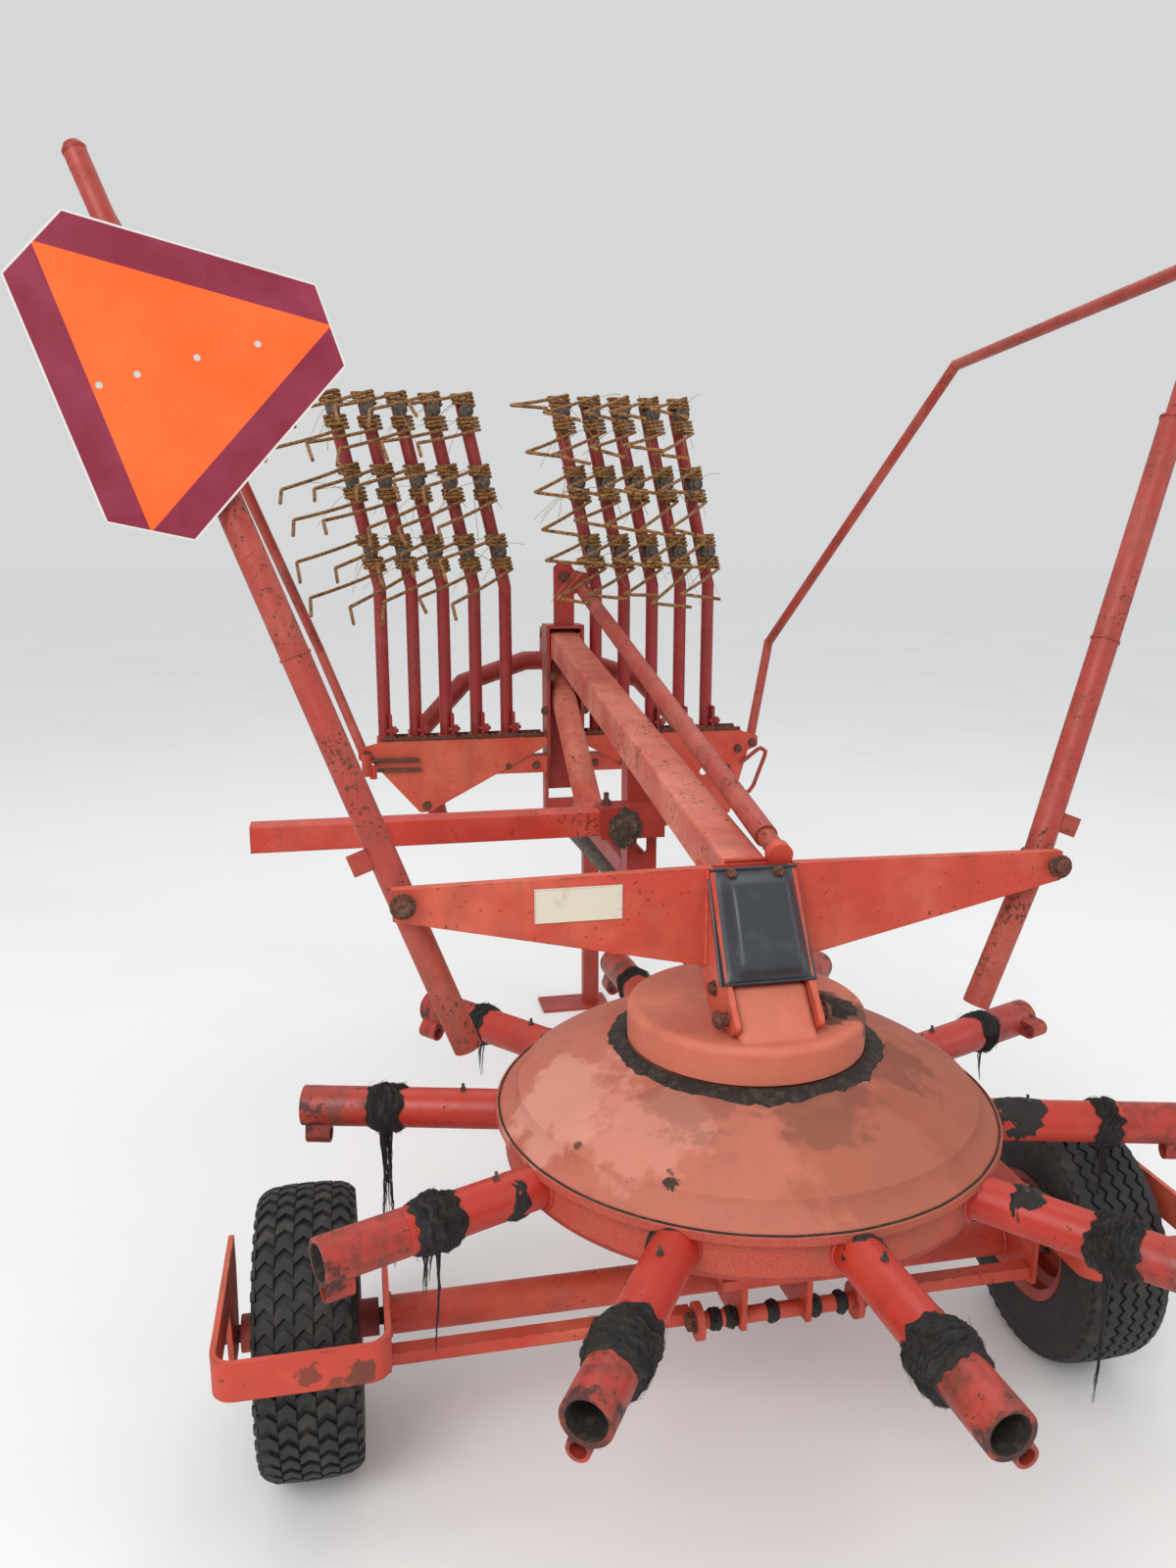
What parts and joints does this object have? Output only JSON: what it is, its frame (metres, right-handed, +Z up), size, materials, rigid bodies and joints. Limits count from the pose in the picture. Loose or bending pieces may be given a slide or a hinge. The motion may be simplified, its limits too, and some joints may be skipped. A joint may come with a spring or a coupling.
{
  "type": "folded rotary rake",
  "caption": "Single-rotor hay rake parked on its stand, with folded hoop guards, stored tine arms in racks and a swivelling three-point hitch.",
  "frame": {"origin": "middle plane of the machine on the ground, at the middle of the stand foot's length", "axes": "+Y is the travel direction towards the hitch, +Z is up, +X is to the right"},
  "size_m": [2.1265, 2.7547, 2.1028],
  "materials": {
    "red_paint": "faded orange-red paint with rust at the edges",
    "rotor_paint": "sun-bleached salmon-red paint, mottled",
    "tine_arm_paint": "worn ochre-red paint over rust",
    "rusty_steel": "brown rust on spring steel",
    "bare_steel": "worn bare steel",
    "black_cover": "dark moulded cover, slightly glossy",
    "tyre_rubber": "dusty black rubber",
    "sign_sheet": "orange sheet with a dark red border"
  },
  "bodies": {
    "frame": {"main_beam": "red_paint", "head_fork": "red_paint", "wing_left": "red_paint", "wing_right": "red_paint", "head_cover": "black_cover", "gear_cap": "rotor_paint", "fork_pin": "bare_steel", "rotor_column": "bare_steel", "axle_bracket": "red_paint", "axle_tube": "red_paint", "axle_stays": "red_paint", "wheel_fork_left": "red_paint", "wheel_fork_right": "red_paint", "wheel_pins": "bare_steel", "mast_channel": "red_paint", "swivel_pin": "bare_steel", "mast_post": "red_paint", "height_spindle": "red_paint", "mast_strut": "red_paint", "cross_channel": "red_paint", "rack_left": "red_paint", "rack_right": "red_paint", "tine_arms_left": "tine_arm_paint", "tine_arms_right": "tine_arm_paint", "coil_tines_left": "rusty_steel", "coil_tines_right": "rusty_steel", "bar_hanger": "red_paint", "lower_channel": "red_paint", "drive_tube": "red_paint", "hinge_pins": "bare_steel", "stand_sleeve": "red_paint"},
    "rotor": {"rotor_dome": "rotor_paint", "rotor_floor": "red_paint", "arm_tubes": "rotor_paint", "arm_ends": "red_paint"},
    "wheel_left": {"tyre_left": "tyre_rubber", "wheel_rim_left": "red_paint"},
    "wheel_right": {"tyre_right": "tyre_rubber", "wheel_rim_right": "red_paint"},
    "guard_left": {"guard_left": "red_paint", "warning_triangle": "sign_sheet"},
    "guard_right": {"guard_right": "red_paint"},
    "swath_bar": {"swath_bar": "red_paint"},
    "parking_stand": {"parking_stand": "red_paint"},
    "hitch": {"hitch": "red_paint"}
  },
  "joints": [
    {"name": "rotor_spin", "type": "hinge", "parent": "frame", "child": "rotor", "pos_m": [0, -1.795, 0.53], "axis": [0, 0, 1], "continuous": true},
    {"name": "wheel_left_roll", "type": "hinge", "parent": "frame", "child": "wheel_left", "pos_m": [-0.752, -1.803, 0.2285], "axis": [1, 0, 0], "continuous": true},
    {"name": "wheel_right_roll", "type": "hinge", "parent": "frame", "child": "wheel_right", "pos_m": [0.64, -1.803, 0.2285], "axis": [1, 0, 0], "continuous": true},
    {"name": "guard_left_fold", "type": "hinge", "parent": "frame", "child": "guard_left", "pos_m": [-0.578, -1.795, 0.957], "axis": [0.0193, -0.9987, 0.0463], "range_deg": [0, 68]},
    {"name": "guard_right_fold", "type": "hinge", "parent": "frame", "child": "guard_right", "pos_m": [0.562, -1.795, 0.957], "axis": [0.0241, 0.9986, -0.0463], "range_deg": [0, 68]},
    {"name": "swath_bar_slide", "type": "slide", "parent": "frame", "child": "swath_bar", "axis": [1, 0, 0], "range_m": [0, 0.3]},
    {"name": "stand_slide", "type": "slide", "parent": "frame", "child": "parking_stand", "axis": [0, 0, 1], "range_m": [0, 0.2]},
    {"name": "hitch_swing", "type": "hinge", "parent": "frame", "child": "hitch", "pos_m": [0, 0.03, 0.98], "axis": [0, 0, 1], "range_deg": [-15, 15]}
  ]
}
